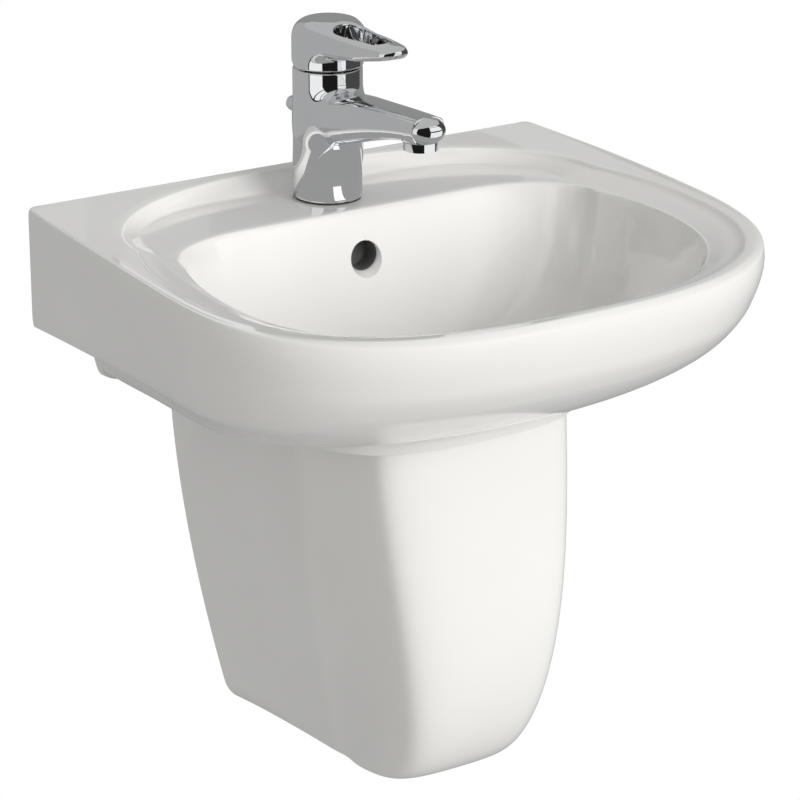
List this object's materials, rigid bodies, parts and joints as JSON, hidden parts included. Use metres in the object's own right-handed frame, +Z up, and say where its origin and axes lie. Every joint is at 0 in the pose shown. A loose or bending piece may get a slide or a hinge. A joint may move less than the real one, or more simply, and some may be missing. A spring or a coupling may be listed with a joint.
{
  "type": "wall-hung washbasin with semi-pedestal",
  "caption": "Wall-hung washbasin with a semi-pedestal shell, a single-lever mixer, a pop-up waste and a bottle trap.",
  "frame": {"origin": "on the wall plane, midway between the two hanger bolts that carry the basin", "axes": "+Z up, +Y into the wall, so the front of the basin points along -Y; +X to the right"},
  "size_m": [0.452, 0.44, 0.5441],
  "materials": {
    "ceramic": "glossy white glaze",
    "chrome": "polished",
    "steel": "zinc plated",
    "brass": "machined",
    "copper": "drawn copper tube",
    "rubber": "matt black",
    "white_plastic": "satin",
    "grey_plastic": "satin"
  },
  "bodies": {
    "root": {"basin": "ceramic", "semi_pedestal": "ceramic", "mixer_body": "chrome", "mixer_cartridge": "grey_plastic", "cartridge_nut": "brass", "aerator_housing": "chrome", "aerator_insert": "white_plastic", "aerator_seal": "rubber", "base_gasket": "rubber", "mounting_stud": "steel", "clamp_gasket": "rubber", "clamp_washer": "steel", "mounting_nut": "brass", "hot_tail": "copper", "cold_tail": "copper", "ball_nut": "chrome", "ball_seat": "white_plastic", "waste_flange": "chrome", "flange_gasket": "rubber", "waste_gasket": "rubber", "waste_washer": "steel", "waste_nut": "brass", "waste_body": "chrome", "trap_inlet_nut": "chrome", "trap_inlet_seal": "rubber", "trap_body": "chrome", "trap_cup": "chrome", "trap_cup_seal": "rubber", "outlet_nut": "chrome", "outlet_seal": "rubber", "outlet_pipe": "chrome", "wall_rosette": "chrome", "hanger_bolts": "steel", "bolt_bushes": "white_plastic", "bolt_washers": "steel", "bolt_nuts": "steel", "pedestal_bolts": "steel", "pedestal_bushes": "white_plastic", "pedestal_washers": "steel", "pedestal_nuts": "steel"},
    "carrier": {"stem_carrier": "grey_plastic", "stem_pin": "steel"},
    "lever": {"lever": "chrome", "lever_stem": "steel", "lever_screw": "steel", "lever_plug": "chrome"},
    "lift": {"lift_rod": "chrome", "lift_knob": "chrome", "rod_clamp": "brass", "clamp_screw": "steel"},
    "ball_rod": {"ball_rod": "steel"},
    "stopper": {"plug": "chrome", "plug_seal": "rubber"}
  },
  "joints": [
    {"name": "lever_swivel", "type": "hinge", "parent": "root", "child": "carrier", "pos_m": [0, -0.055, 0.172], "axis": [0, 0, 1], "range_deg": [-50, 50]},
    {"name": "lever_lift", "type": "hinge", "parent": "carrier", "child": "lever", "pos_m": [0, -0.055, 0.172], "axis": [-1, 0, 0], "range_deg": [0, 18]},
    {"name": "knob_slide", "type": "slide", "parent": "root", "child": "lift", "axis": [0, 0, 1], "range_m": [-0.03, 0]},
    {"name": "ball_turn", "type": "hinge", "parent": "root", "child": "ball_rod", "pos_m": [0, -0.159, -0.105], "axis": [1, 0, 0], "range_deg": [-14.6, 0]},
    {"name": "plug_slide", "type": "slide", "parent": "root", "child": "stopper", "axis": [0, 0, 1], "range_m": [0, 0.0067]}
  ],
  "couplings": [
    {"joint": "ball_turn", "follows": "knob_slide", "rad_per_m": 8.465},
    {"joint": "plug_slide", "follows": "knob_slide", "ratio": -0.2213}
  ]
}
